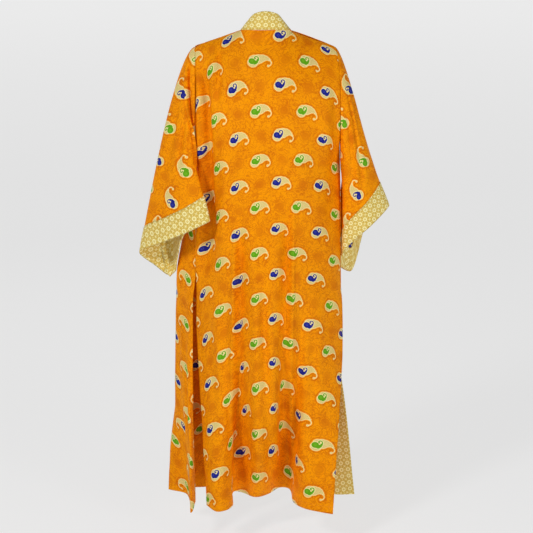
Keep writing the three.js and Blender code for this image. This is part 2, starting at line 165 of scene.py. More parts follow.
# Places round each front: side seam, turn, swell, side, corner, middle, band seam, free edge.
frontSections = {
    1: {
        1150: [(190, -48), (186, -60), (179, -72), (166, -88), (146, -100), (122, -108), (98, -113),
               (42, -124)],
        970: [(192, 0), (196, -13), (200, -28), (202, -56), (188, -96), (150, -126), (104, -140),
              (45, -150)],
        860: [(193, 0), (199, -14), (205, -30), (210, -62), (200, -105), (160, -138), (106, -148),
              (47, -156)],
        650: [(197, 0), (214, -12), (229, -28), (250, -58), (236, -108), (178, -146), (112, -154),
              (52, -158)],
        560: [(205, 4), (217, -6), (231, -24), (254, -60), (240, -108), (182, -145), (114, -152),
              (54, -156)],
        300: [(206, 22), (216, 28), (232, -12), (263, -62), (254, -100), (196, -128), (126, -140),
              (66, -146)],
        0: [(200, 34, 4), (211, 76, -15), (230, -36, 2), (284, -60, 7), (272, -90, 2), (200, -92, 2),
            (142, -108), (84, -120)],
    },
    -1: {
        1150: [(-198, -48), (-192, -60), (-184, -72), (-168, -88), (-146, -100), (-122, -108), (-98, -114),
               (-46, -140)],
        970: [(-200, 0), (-200, -14), (-199, -30), (-192, -62), (-172, -104), (-132, -130), (-86, -148),
              (-54, -198)],
        860: [(-202, 0), (-200, -14), (-198, -30), (-190, -64), (-170, -108), (-116, -138), (-72, -164),
              (-104, -212)],
        650: [(-206, 0), (-203, -14), (-199, -30), (-188, -68), (-162, -110), (-92, -142), (-88, -188),
              (-148, -192)],
        560: [(-207, -2), (-204, -16), (-198, -32), (-186, -68), (-156, -108), (-84, -138), (-100, -182),
              (-160, -176)],
        300: [(-192, 8), (-192, -8), (-188, -28), (-176, -62), (-140, -96), (-88, -122), (-164, -128),
              (-220, -98)],
        0: [(-148, 54), (-156, 36), (-160, 12), (-156, -32), (-124, -72), (-80, -104, 2), (-195, -30, 2),
            (-253, -38)],
    },
}


# The back's section before its folds, from the left side to the right.
def plainBack(h):
    left, right, back = (tableAt(bodyRows["h"], bodyRows[k], h) for k in ("left", "right", "back"))
    share = np.clip((h - garment["underarmHeight"]) / garment["armholeDepth"], 0, 1)
    edge = garment["armholeHalfGap"] * max(0.0, math.sin(math.pi * share)) ** 0.7
    run = np.linspace(0, 1, 25)
    reach = np.abs(2 * run - 1) ** 2.5
    places = [left + (right - left) * run, back + (edge - back) * reach, 0 * run]
    return smoothLine(np.stack(places, 1), perSpan=8)


# The same section with the hem's folds, which fade out upwards.
def backLineAt(h):
    folds = np.array(backHemFolds, float)
    start = pointsAt(plainBack(h), folds[:, 0])
    weight = (np.clip(1 - h / folds[:, 4], 0, 1) ** 1.25)[:, None]
    hem = folds[:, 1:3]
    places = start[:, :2] + (hem - start[:, :2]) * weight
    return smoothLine(np.hstack([places, folds[:, 3:4] * weight]))


def frontLineAt(side, h):
    rows = frontSections[side]
    values = [[(*place, 0)[:3] for place in row] for row in rows.values()]
    return smoothLine(tableAt(list(rows), values, h))


# A point of the shoulder seam, from the shoulder's end (0) to the neck (1).
def shoulderPoint(side, share):
    g = garment
    rounding = 10 * (1 - min(1, share * 6)) ** 2
    x = g["shoulderHalf"] + (g["neckHalf"] - g["shoulderHalf"]) * share - 0.2 * rounding
    outer = g["shoulderHeight"][side]
    return at(side * x + g["neckOffset"][side], 0, outer + (g["neckHeight"] - 1 - outer) * share**0.93)


def bezier(a, b, c, d, t):
    t = np.asarray(t)[..., None]
    return (1 - t) ** 3 * a + 3 * (1 - t) ** 2 * t * b + 3 * (1 - t) * t**2 * c + t**3 * d


cells = {"yokeRows": 36, "hangRows": 190, "backColumns": 150, "frontColumns": 104, "bandColumns": 12,
         "round": 128, "sleeveRows": 96, "cuffRows": 16}
yokeShares = (np.arange(cells["yokeRows"]) / cells["yokeRows"]) ** 1.6
hangHeights = garment["yokeHeight"] * (1 - (np.arange(cells["hangRows"] + 1) / cells["hangRows"]) ** 0.96)


yoke = {  # how the cloth runs between the shoulder seam and the first level section, millimetres
    "neckLine": [(66, 24), (42, 40), (0, 44), (-38, 40), (-62, 24)],  # x and y at the neck's height
    "leaveShoulder": (26, -3),  # y and height, at the back; the front's y is the other way
    "leaveNeck": (14, -44),
    "arrive": 62,
    "neckFrom": (138, 30),  # distance from the shoulder's end where the neck begins, and its width
    "evenFrom": (20, 60),  # the back's yoke is evened from this distance on, and over this width
    "evenColumns": (0.2, 9.0),  # columns it is evened over, at the seam and added below
}


# Points of a section, as a row of a sheet.
def onSection(line, shares, h):
    p = pointsAt(line, shares)
    return np.stack([p[:, 0], p[:, 1], h + p[:, 2] - garment["neckHeight"]], 1)


# The rows between the shoulder seam and the first level section.
def yokeRows(top, leave, foot):
    arrive = foot + [0, 0, yoke["arrive"]]
    return [bezier(top, top + leave, arrive, foot, np.full(len(top), t)) for t in yokeShares]


def backSheet():
    shares = np.linspace(0, 1, cells["backColumns"])
    seamShares = np.linspace(0, 1, 9)
    neckPoints = [at(x, y, garment["neckHeight"]) for x, y in yoke["neckLine"]]
    neck = smoothLine([shoulderPoint(1, 1), *neckPoints, shoulderPoint(-1, 1)])
    topLine = np.vstack([smoothLine([shoulderPoint(1, s) for s in seamShares])[:-1], neck[:-1],
                         smoothLine([shoulderPoint(-1, s) for s in seamShares[::-1]])])
    top = pointsAt(topLine, shares)
    fromEnd = np.minimum(shares, 1 - shares) * lineLength(topLine)
    grow = lambda start, width: smoothStep((fromEnd - start) / width)[:, None]
    onNeck = grow(*yoke["neckFrom"])
    (shoulderY, shoulderH), (neckY, neckH) = yoke["leaveShoulder"], yoke["leaveNeck"]
    leave = np.hstack([0 * onNeck, shoulderY + (neckY - shoulderY) * onNeck,
                       shoulderH + (neckH - shoulderH) * onNeck])
    foot = onSection(backLineAt(garment["yokeHeight"]), shares, garment["yokeHeight"])
    rows = yokeRows(top, leave, foot)
    inner = grow(*yoke["evenFrom"])
    for i, t in enumerate(yokeShares):
        reach = yoke["evenColumns"][0] + yoke["evenColumns"][1] * float(smoothStep(t / 0.2))
        near = np.exp(-0.5 * ((np.arange(len(shares))[:, None] - np.arange(len(shares))) / reach) ** 2)
        soft = near @ rows[i] / near.sum(1, keepdims=True)
        rows[i] = rows[i] + (soft - rows[i]) * inner * float(smoothStep((1.0 - t) / 0.3))
    rows += [onSection(backLineAt(h), shares, h) for h in hangHeights]
    return np.array(rows)


def frontSheets(side):
    shares = np.linspace(0, 1, cells["frontColumns"])
    yokeHeight = garment["yokeHeight"]
    panelOf = lambda line: 1 - garment["bandWidth"] / lineLength(line)
    line = frontLineAt(side, yokeHeight)
    foot = onSection(line, shares * panelOf(line), yokeHeight)
    top = np.array([shoulderPoint(side, s) for s in shares])
    rows = yokeRows(top, [0, -yoke["leaveShoulder"][0], yoke["leaveShoulder"][1]], foot)
    rib = collarRibs[0 if side > 0 else -1]
    collarLean = at(*rib[3:]) - at(*rib[:3])
    collarLean *= (garment["bandWidth"] - 8) / np.linalg.norm(collarLean)
    yokeLean = onSection(line, np.array([1.0]), yokeHeight)[0] - foot[-1]
    across = np.linspace(0, 1, cells["bandColumns"])
    bands = []
    for row, t in zip(rows, yokeShares):
        lean = collarLean + (yokeLean - collarLean) * smoothStep(t * 1.05)
        bands.append(row[-1] + across[:, None] * lean)
    for h in hangHeights:
        line = frontLineAt(side, h)
        seam = panelOf(line)
        rows.append(onSection(line, shares * seam, h))
        bands.append(onSection(line, seam + (1 - seam) * across, h))
    return np.array(rows), np.array(bands)


# Seam x, y, h and free edge x, y, h of each rib, round the nape from the left.
collarRibs = [
    (69, 0, 1318, 38, 20, 1356),
    (67, 14, 1319, 35, 26, 1359),
    (63, 28, 1319, 31, 30, 1361.5),
    (38, 40, 1319, 18, 33, 1366),
    (0, 44, 1319, 3, 35, 1368),
    (-35, 40, 1319, -13, 33, 1366),
    (-58, 28, 1319, -27, 30, 1361.5),
    (-62, 14, 1319, -31, 26, 1359),
    (-65, 0, 1318, -34, 20, 1356),
]


collarLook = {"thickness": 2.6, "bulge": 3.2, "printShift": 6, "stitchLift": 1.7}


def collarSheet():
    ribs = np.array(collarRibs, float)
    shares = np.linspace(0.004, 0.996, 90)
    seam = pointsAt(smoothLine([at(*r[:3]) for r in ribs]), shares)
    free = pointsAt(smoothLine([at(*r[3:]) for r in ribs]), shares)
    up = np.linspace(0, 1, 16)[:, None, None]
    outward = np.array([0, 1.0, 0.6])
    sheet = seam + (free - seam) * up
    swell = np.sin(np.pi * up) * np.sin(np.pi * shares)[None, :, None]
    return sheet + outward * (collarLook["bulge"] * swell)


sleeveShapes = {
    1: {
        "overShoulder": (48, 8),
        "underArm": (12, 60),
        "cuffPlaces": [  # x, y, h, lean sideways, lean back
            (353, -30, 708, -0.2, 0.02),
            (291.5, 30, 743.5, -0.14, 0),
            (220.5, 70, 777, 0, -0.02),
            (153, 87, 813, 0.2, -0.1),
            (200, 44, 797, 0, -0.2),
            (236, -10, 745, -0.1, -0.1),
            (252, -42, 676, -0.05, -0.05),
            (268, -70, 633, -0.02, -0.05),
            (314, -64, 666, -0.16, -0.05),
        ],
    },
    -1: {
        "overShoulder": (36, 40),
        "underArm": (5, 60),
        "cuffPlaces": [
            (-338, -20, 842, 0.46, 0),
            (-284, 22, 789, 0.12, 0.05),
            (-243, 18, 753, 0, 0.1),
            (-213, 4, 716, 0, 0.1),
            (-212, -32, 684, 0, 0),
            (-218, -66, 658, -0.05, 0),
            (-241, -92, 645, 0, 0.05),
            (-290, -74, 812, 0.5, 0),
        ],
    },
}


# The gap to the armhole under the arm and over it, how far a sleeve's lines run on straight
# before the cuff's edge, as a share of their length, and the points a line is drawn with.
sleeveRun = {"seamGap": (1.2, 0.3), "pull": 0.36, "steps": 60}


def armholeRing(side, back, front):
    edge = 0 if side > 0 else -1
    under = garment["underarmHeight"]
    count = int((back[:, edge, 2] > under - garment["neckHeight"]).sum())
    down = back[1:count:4, edge]
    up = front[1:count:4, 0][::-1]
    x = tableAt(bodyRows["h"], bodyRows["left" if side > 0 else "right"], under)
    return smoothLine([back[0, edge], *down, at(x, 0, under), *up], closed=True, perSpan=8)


def sleeveSheets(side, back, front):
    shape = sleeveShapes[side]
    places = np.array(shape["cuffPlaces"], float)
    cuff = smoothLine([at(*p[:3]) for p in places], closed=True)
    leans = smoothLine(np.column_stack([places[:, 3:5], np.ones(len(places))]), closed=True)
    shares = np.arange(cells["round"]) / cells["round"]
    over = ((1 + np.cos(2 * np.pi * shares)) / 2)[:, None]
    start = pointsAt(armholeRing(side, back, front), shares)
    under, above = sleeveRun["seamGap"]
    start[:, 0] += side * (under + (above - under) * over[:, 0])
    end = pointsAt(cuff, shares)
    run = lengthsAlong(cuff) / lineLength(cuff)
    spot = np.interp(shares, run, np.arange(len(cuff)))
    lean = np.stack([np.interp(spot, np.arange(len(leans)), leans[:, k]) for k in range(3)], 1)
    (outUnder, downUnder), (outOver, downOver) = shape["underArm"], shape["overShoulder"]
    leave = np.hstack([side * (outUnder + (outOver - outUnder) * over), 0 * over,
                       -(downUnder + (downOver - downUnder) * over)])
    arrive = end + lean * sleeveRun["pull"] * np.linalg.norm(end - start, axis=1)[:, None]
    lines = np.stack([bezier(start, start + leave, arrive, end, np.full(len(shares), t))
                      for t in np.linspace(0, 1, sleeveRun["steps"])], 1)
    upper, lower = [], []
    for line in lines:
        seam = 1 - garment["cuffWidth"] / lineLength(line)
        upper.append(pointsAt(line, np.linspace(0, seam, cells["sleeveRows"])))
        lower.append(pointsAt(line, np.linspace(seam, 1, cells["cuffRows"])))
    return np.array(upper).transpose(1, 0, 2), np.array(lower).transpose(1, 0, 2)


# The cloth's outward direction at each point.
def normalsOf(sheet, closed=False):
    across = np.roll(sheet, -1, 1) - np.roll(sheet, 1, 1)
    if not closed:
        across[:, 0] = sheet[:, 1] - sheet[:, 0]
        across[:, -1] = sheet[:, -1] - sheet[:, -2]
    normal = unit(np.cross(across, np.gradient(sheet, axis=0)))
    middle = sheet.mean(1, keepdims=True) if closed else np.array([0.0, garment["bodyMiddleY"], 0.0])
    return normal * np.sign((normal * (sheet - middle))[..., :2].sum())


# Smooths a measure along each row, following its slope.
def evened(measure, across, width):
    result = np.empty_like(measure)
    for i, (row, x) in enumerate(zip(measure, across)):
        weight = np.exp(-(((x[:, None] - x) / width) ** 2))
        total = weight.sum(1)
        middle, mean = (weight * x).sum(1) / total, (weight * row).sum(1) / total
        slope = (weight * (x - middle[:, None]) * (row - mean[:, None])).sum(1)
        slope /= (weight * (x - middle[:, None]) ** 2).sum(1)
        result[i] = mean + slope * (x - middle)
    return result


# Reads a table of rows (heights, from the hem up) and columns (x) over a whole sheet.
def tableOver(table, key, x, h):
    rows = np.array([np.interp(x, table["x"], row) for row in table[key]])
    place = np.interp(h, table["h"], np.arange(len(rows)))
    low = np.minimum(place.astype(int), len(rows) - 2)
    share = place - low
    below = np.take_along_axis(rows, low[None], 0)[0]
    above = np.take_along_axis(rows, low[None] + 1, 0)[0]
    return below + (above - below) * share


# The cloth's own plan: how far each point is across from a chosen column, and down from the top.
def clothPlan(sheet, zeroShare=0.5):
    across = lengthsAlong(sheet, 1)
    return across - across[:, -1:] * zeroShare, lengthsAlong(sheet)


# A strip's plan where its rows cross it at a slant, measured down its first edge.
def slantedPlan(strip, across, down):
    toward = strip[:, -1] - strip[:, 0]
    along = np.gradient(strip[:, 0], axis=0)
    slant = np.clip((unit(toward) * unit(along)).sum(1), -0.95, 0.95)[:, None]
    return across * np.sqrt(1 - slant**2) + 8, -(down[:, :1] + across * slant)


def distanceToPath(px, py, path):
    best = np.full(px.shape, 1e9)
    where = np.zeros(px.shape)
    hand = np.ones(px.shape)
    path = np.asarray(path, float)
    run = lengthsAlong(path)
    for i in range(len(path) - 1):
        a, b = path[i], path[i + 1]
        d = b - a
        t = np.clip(((px - a[0]) * d[0] + (py - a[1]) * d[1]) / (d @ d), 0, 1)
        dx, dy = px - a[0] - t * d[0], py - a[1] - t * d[1]
        dist = np.hypot(dx, dy)
        nearer = dist < best
        best = np.where(nearer, dist, best)
        where = np.where(nearer, (run[i] + t * (run[i + 1] - run[i])) / run[-1], where)
        hand = np.where(nearer, np.sign(d[0] * dy - d[1] * dx), hand)
    return best, where, hand


foldLook = {
    "smoothing": 8.0,  # columns over which an open sheet's normals are evened
    "fade": 0.22,  # share of a fold's length in which it comes and goes
    "grow": 0.5,  # how much wider a fold is at its end than at its start
    "lip": 0.3,  # the low swell on both sides of a fold, as a share of its depth
}


# Presses soft troughs (depth over 0) and ridges (under 0) into a sheet. A fold is its path in the
# two measures px, py, its depth and width in millimetres, and its lean, which makes one wall steeper.
def pressFolds(sheet, px, py, folds, closed=False):
    normal = normalsOf(sheet, closed)
    if not closed:  # an open sheet is pressed straight in, not sideways off the walls of its own folds
        columns = np.arange(sheet.shape[1])
        near = np.exp(-0.5 * ((columns[:, None] - columns) / foldLook["smoothing"]) ** 2)
        normal = unit(np.einsum("ab,rbk->rak", near, normal))
    push = np.zeros(px.shape)
    for path, depth, width, *lean in folds:
        dist, where, hand = distanceToPath(px, py, smoothLine(path, perSpan=6) if len(path) > 2 else path)
        wide = width * (0.75 + foldLook["grow"] * where) * (1 + hand * (lean[0] if lean else 0))
        ends = smoothStep(where / foldLook["fade"]) * smoothStep((1 - where) / foldLook["fade"])
        x = dist / wide
        push -= depth * ends * (np.exp(-x * x) - foldLook["lip"] * np.exp(-((x - 1.7) ** 2) * 1.6))
    return sheet + normal * push[..., None]


rippleLook = {"waves": 14, "turn": 0.45, "length": (55, 190), "bend": 0.6, "size": 1.0}


# Slow uneven waves, so that no stretch of cloth is dead flat.
def ripple(sheet, px, py, seed):
    rng = np.random.default_rng(seed)
    push = np.zeros(px.shape)
    for _ in range(rippleLook["waves"]):
        angle = rng.normal(0, rippleLook["turn"])
        length = rng.uniform(*rippleLook["length"])
        phase = rng.uniform(0, 2 * np.pi)
        bend = rng.uniform(-rippleLook["bend"], rippleLook["bend"])
        push += np.sin(2 * np.pi * (px * math.cos(angle) + py * math.sin(angle)) / length + phase
                       + bend * np.sin(py / 170 + phase)) * (length / 130)
    return sheet + normalsOf(sheet) * (push * rippleLook["size"] / 3.2)[..., None]


def newPiece(name, points, faces):  # points in metres
    mesh = bpy.data.meshes.new(name)
    mesh.from_pydata(np.asarray(points, float).tolist(), [], faces)
    mesh.polygons.foreach_set("use_smooth", [True] * len(mesh.polygons))
    piece = bpy.data.objects.new(name, mesh)
    bpy.context.collection.objects.link(piece)
    return piece


# A grid of points as a mesh, with the cloth's plan as its UV map.
def meshFrom(name, sheet, plan, closed=False):
    rows, columns = sheet.shape[:2]
    steps = columns if closed else columns - 1
    r, c = np.meshgrid(np.arange(rows - 1), np.arange(steps), indexing="ij")
    ids = lambda a, b: (a * columns + b % columns).ravel()
    faces = np.stack([ids(r, c), ids(r + 1, c), ids(r + 1, c + 1), ids(r, c + 1)], 1)
    piece = newPiece(name, sheet.reshape(-1, 3) / 1000, faces.tolist())
    corner = lambda m, a, b: m[a, b if m.shape[1] > columns else b % columns].ravel()
    corners = ((r, c), (r + 1, c), (r + 1, c + 1), (r, c + 1))
    uv = np.stack([np.stack([corner(m, a, b) for a, b in corners], 1) for m in plan], 2) / 1000
    piece.data.uv_layers.new(name="clothPlan").data.foreach_set("uv", uv.ravel())
    return piece


def sheetArea(sheet, closed=False):
    around = np.concatenate([sheet, sheet[:, :1]], 1) if closed else sheet
    a = around[1:, :-1] - around[:-1, :-1]
    b = around[:-1, 1:] - around[:-1, :-1]
    c = around[1:, :-1] - around[1:, 1:]
    d = around[:-1, 1:] - around[1:, 1:]
    triangles = np.linalg.norm(np.cross(a, b), axis=2) + np.linalg.norm(np.cross(c, d), axis=2)
    return float(triangles.sum() / 2e6)  # square metres


def newMaterial(name, settings):
    material = bpy.data.materials.new(name)
    material.use_nodes = True
    tree = material.node_tree
    shader = tree.nodes["Principled BSDF"]
    for socket, value in settings.items():
        shader.inputs[socket].default_value = value
    return material, tree, shader


# Node maths for one material: shapes are distances in millimetres, under 0 inside.
class Sums:
    def __init__(self, tree):
        self.tree = tree

    def put(self, value, socket):
        if isinstance(value, bpy.types.NodeSocket):
            self.tree.links.new(value, socket)
        else:
            socket.default_value = value

    def math(self, operation, *values):
        node = self.tree.nodes.new("ShaderNodeMath")
        node.operation = operation
        for i, value in enumerate(values):
            self.put(value, node.inputs[i])
        return node.outputs[0]

    def plus(self, a, b):
        return self.math("ADD", a, b)

    def minus(self, a, b):
        return self.math("SUBTRACT", a, b)

    def times(self, a, b):
        return self.math("MULTIPLY", a, b)

    def point(self, x, y):
        node = self.tree.nodes.new("ShaderNodeCombineXYZ")
        self.put(x, node.inputs[0])
        self.put(y, node.inputs[1])
        return node.outputs[0]

    def disc(self, p, x, y, radius):
        node = self.tree.nodes.new("ShaderNodeVectorMath")
        node.operation = "DISTANCE"
        self.put(p, node.inputs[0])
        node.inputs[1].default_value = (x, y, 0)
        return self.minus(node.outputs["Value"], radius)

    def hoop(self, p, x, y, radius, half):
        return self.minus(self.math("ABSOLUTE", self.disc(p, x, y, radius)), half)

    def join(self, shapes, softness):
        result = shapes[0]
        for shape in shapes[1:]:
            result = self.math("SMOOTH_MIN", result, shape, softness)
        return result

    def inside(self, shape, edge):
        node = self.tree.nodes.new("ShaderNodeMapRange")
        self.put(shape, node.inputs["Value"])
        node.inputs["From Min"].default_value = edge
        node.inputs["From Max"].default_value = -edge
        return node.outputs["Result"]

    def blend(self, share, a, b):
        node = self.tree.nodes.new("ShaderNodeMix")
        node.data_type = "RGBA"
        self.put(share, node.inputs["Factor"])
        self.put(a, node.inputs["A"])
        self.put(b, node.inputs["B"])
        return node.outputs["Result"]

    def noise(self, p, scale, detail, distortion=0.0, roughness=0.5):
        node = self.tree.nodes.new("ShaderNodeTexNoise")
        self.put(p, node.inputs["Vector"])
        node.inputs["Scale"].default_value = scale
        node.inputs["Detail"].default_value = detail
        node.inputs["Distortion"].default_value = distortion
        node.inputs["Roughness"].default_value = roughness
        return node.outputs["Fac"]


def rgb(r, g, b):
    linear = lambda v: (v / 255 / 12.92) if v <= 10 else ((v / 255 + 0.055) / 1.055) ** 2.4
    return (linear(r), linear(g), linear(b), 1.0)


# A material with the plan's two measures, across and up the cloth.
def clothMaterial(name, look):
    material, tree, shader = newMaterial(name, {
        "Roughness": look["roughness"], "Sheen Weight": look["sheen"], "Sheen Roughness": 0.45,
        "Specular IOR Level": 0.06})
    sums = Sums(tree)
    where = tree.nodes.new("ShaderNodeUVMap")
    where.uv_map = "clothPlan"
    split = tree.nodes.new("ShaderNodeSeparateXYZ")
    tree.links.new(where.outputs[0], split.inputs[0])
    across = sums.times(split.outputs[0], 1000.0)  # millimetres of cloth
    up = sums.times(split.outputs[1], 1000.0)
    return material, tree, shader, sums, across, up


# Fine plain weave with slubs and puckers, as bump.
def weave(tree, shader, sums, across, up, look):
    turns = 2 * math.pi / look["threadPitch"]
    warp, weft = (sums.math("SINE", sums.times(way, turns)) for way in (across, up))
    cross = sums.times(warp, weft)
    slub = sums.noise(sums.point(sums.times(across, 0.08), sums.times(up, 0.9)), 1.0, 3)
    puckers = sums.noise(sums.point(across, up), look["puckerScale"], 3, 0.6)
    relief = sums.plus(sums.times(cross, look["threadHeight"]),
                       sums.times(slub, look["slubHeight"]))
    relief = sums.plus(relief, sums.times(puckers, look["puckerHeight"]))
    bump = tree.nodes.new("ShaderNodeBump")
    bump.inputs["Strength"].default_value = 1.0
    bump.inputs["Distance"].default_value = 0.001
    tree.links.new(relief, bump.inputs["Height"])
    tree.links.new(bump.outputs[0], shader.inputs["Normal"])


printedLook = {
    "drop": [  # the paisley's body: x, y and radius of its discs, from the comma's middle
        (-1.6, -3.3, 12.3), (3.4, 3.7, 13.7), (12.0, 5.8, 12.8), (19.9, 7.6, 9.9), (26.7, 6.9, 6.9),
        (32.2, 4.2, 4.2), (36.4, 0.6, 2.4)],
    "comma": [(-3.2, 0.6, 7.9), (2.9, -2.9, 5.5), (7.3, -1.2, 3.7), (10.3, 2.4, 2.3), (11.6, 5.6, 1.7)],
    "hook": (32.2, -7.4, 7.6, 1.15),  # x, y, radius, half width
    "hookEnd": (33.0, -14.6, 2.9),
    "curl": (7.4, 8.4, 4.3, 1.3),
    "curlEnd": (4.6, 7.6, 1.9),
    "eye": (-3.4, 1.2, 2.2, 0.7),
    "motifMiddle": 13.0,  # from the comma's middle to the middle of the whole motif
    "haloAway": 3.6,
    "haloShare": 0.75,
    "medallion": {"ring": (14.5, 1.2), "disc": 11.2, "petal": (7.4, 0.9), "heart": 2.6},
    "shares": {"rings": 0.46, "scrolls": 0.56, "petals": 0.62},  # strength of each tonal figure
    "ground": rgb(255, 158, 0),
    "tonal": rgb(206, 98, 4),
    "halo": rgb(206, 92, 4),
    "cream": rgb(232, 210, 136),
    "creamEdge": rgb(252, 234, 164),
    "creamFleck": rgb(204, 176, 94),
    "navy": rgb(33, 40, 138),
    "navyEye": rgb(62, 70, 170),
    "green": rgb(100, 168, 24),
    "greenEye": rgb(124, 190, 44),
    "roughness": 0.62,
    "sheen": 0.0,
    "threadPitch": 0.7,
    "threadHeight": 0.05,
    "slubHeight": 0.10,
    "puckerScale": 0.035,
    "puckerHeight": 2.2,
}


def printedCloth():
    look = printedLook
    material, tree, shader, sums, across, up = clothMaterial("printedCloth", look)
    repeatX, repeatY = printRepeat["across"], printRepeat["down"]
    halfX, halfY = repeatX / 2, repeatY / 2
    middle = look["motifMiddle"]
    fromMiddle = sums.minus(across, middle)

    def cell(shiftX, shiftY):
        x = sums.math("WRAP", sums.minus(fromMiddle, shiftX), halfX, -halfX)
        y = sums.math("WRAP", sums.minus(up, shiftY), halfY, -halfY)
        reach = sums.plus(sums.math("DIVIDE", sums.math("ABSOLUTE", x), halfX),
                          sums.math("DIVIDE", sums.math("ABSOLUTE", y), halfY))
        return x, y, sums.math("LESS_THAN", reach, 1.0)

    def pick(first, a, b):
        return sums.plus(sums.times(a, first), sums.times(b, sums.minus(1.0, first)))

    navyX, navyY, isNavy = cell(0, 0)
    greenX, greenY, _ = cell(halfX, halfY)
    x = sums.plus(pick(isNavy, navyX, greenX), middle)
    y = pick(isNavy, navyY, greenY)
    p = sums.point(x, y)
    drop = sums.join([sums.disc(p, *disc) for disc in look["drop"]], 1.6)
    hook = sums.math("MAXIMUM", sums.hoop(p, *look["hook"]), sums.minus(look["hook"][0] + 1.0, x))
    hook = sums.math("MINIMUM", hook, sums.disc(p, *look["hookEnd"]))
    motif = sums.join([drop, hook], 0.8)
    comma = sums.join([sums.disc(p, *disc) for disc in look["comma"]], 1.2)
    curlX, curlY = look["curl"][:2]
    lowLeft = sums.math("MAXIMUM", sums.minus(x, curlX), sums.minus(y, curlY))
    curl = sums.math("MAXIMUM", sums.hoop(p, *look["curl"]), sums.times(lowLeft, -1.0))
    curl = sums.math("MINIMUM", curl, sums.disc(p, *look["curlEnd"]))
    comma = sums.join([comma, curl], 0.7)

    # the tonal ground: medallions in the gaps, dots and scrolls round them
    gapX, gapY, isGap = cell(halfX, 0)
    otherX, otherY, _ = cell(0, halfY)
    medallion = sums.point(pick(isGap, gapX, otherX), pick(isGap, gapY, otherY))
    size = look["medallion"]
    hoopAndDisc = lambda hoop, disc: sums.join([
        sums.hoop(medallion, 0, 0, *size[hoop]), sums.disc(medallion, 0, 0, size[disc])], 0.5)
    rings, petals = hoopAndDisc("ring", "disc"), hoopAndDisc("petal", "heart")
    plane = sums.point(across, up)
    swirl = sums.math("ABSOLUTE", sums.minus(sums.noise(plane, 0.052, 1.0, 2.4), 0.5))
    scroll = sums.inside(sums.minus(swirl, 0.03), 0.012)  # a band each side of the noise's middle level
    vine = sums.math("ABSOLUTE", sums.minus(sums.noise(plane, 0.026, 1.0, 3.0), 0.48))
    scroll = sums.math("MAXIMUM", scroll, sums.inside(sums.minus(vine, 0.026), 0.014))
    cloud = sums.noise(plane, 0.022, 2.0)
    share = look["shares"]
    tone = sums.math("MAXIMUM", sums.times(sums.inside(rings, 1.2), share["rings"]),
                     sums.times(scroll, share["scrolls"]))
    tone = sums.math("MAXIMUM", tone, sums.times(sums.inside(petals, 0.8), share["petals"]))
    tone = sums.plus(tone, sums.times(sums.minus(cloud, 0.47), 1.0))
    tone = sums.math("MINIMUM", sums.math("MAXIMUM", tone, 0.0), 1.0)
    colour = sums.blend(tone, look["ground"], look["tonal"])
    halo = sums.inside(sums.minus(sums.math("ABSOLUTE", sums.minus(motif, look["haloAway"])), 0.9), 0.7)
    colour = sums.blend(sums.times(halo, look["haloShare"]), colour, look["halo"])

    fleck = sums.noise(plane, 0.55, 2.0)
    cream = sums.blend(sums.times(sums.math("GREATER_THAN", fleck, 0.56), 0.55),
                       look["cream"], look["creamFleck"])
    rim = sums.inside(sums.minus(-1.3, motif), 0.4)
    cream = sums.blend(rim, cream, look["creamEdge"])
    nearComma = sums.inside(sums.minus(comma, 1.6), 0.4)
    cream = sums.blend(nearComma, cream, look["creamEdge"])
    colour = sums.blend(sums.inside(motif, 0.3), colour, cream)
    ink = sums.blend(isNavy, look["green"], look["navy"])
    eye = sums.blend(isNavy, look["greenEye"], look["navyEye"])
    ink = sums.blend(sums.inside(sums.hoop(p, *look["eye"]), 0.3), ink, eye)
    colour = sums.blend(sums.inside(comma, 0.3), colour, ink)
    tree.links.new(colour, shader.inputs["Base Color"])
    weave(tree, shader, sums, across, up, look)
    return material


ringLook = {
    "ground": rgb(222, 186, 76),
    "shade": rgb(196, 158, 52),
    "fleck": rgb(248, 226, 136),
    "ring": rgb(255, 246, 182),
    "pitch": 18.8,
    "hoop": (4.4, 1.6),  # radius and half width
    "petals": (9.0, 0.45),  # how many round the ring, and how deep
    "seed": 0.8,
    "cross": (2.2, 1.0, 1.7),  # its dots' places, their radius, the middle one's
    "dot": 1.1,
    "roughness": 0.55,
    "sheen": 0.1,
    "threadPitch": 0.7,
    "threadHeight": 0.05,
    "slubHeight": 0.1,
    "puckerScale": 0.05,
    "puckerHeight": 1.0,
}


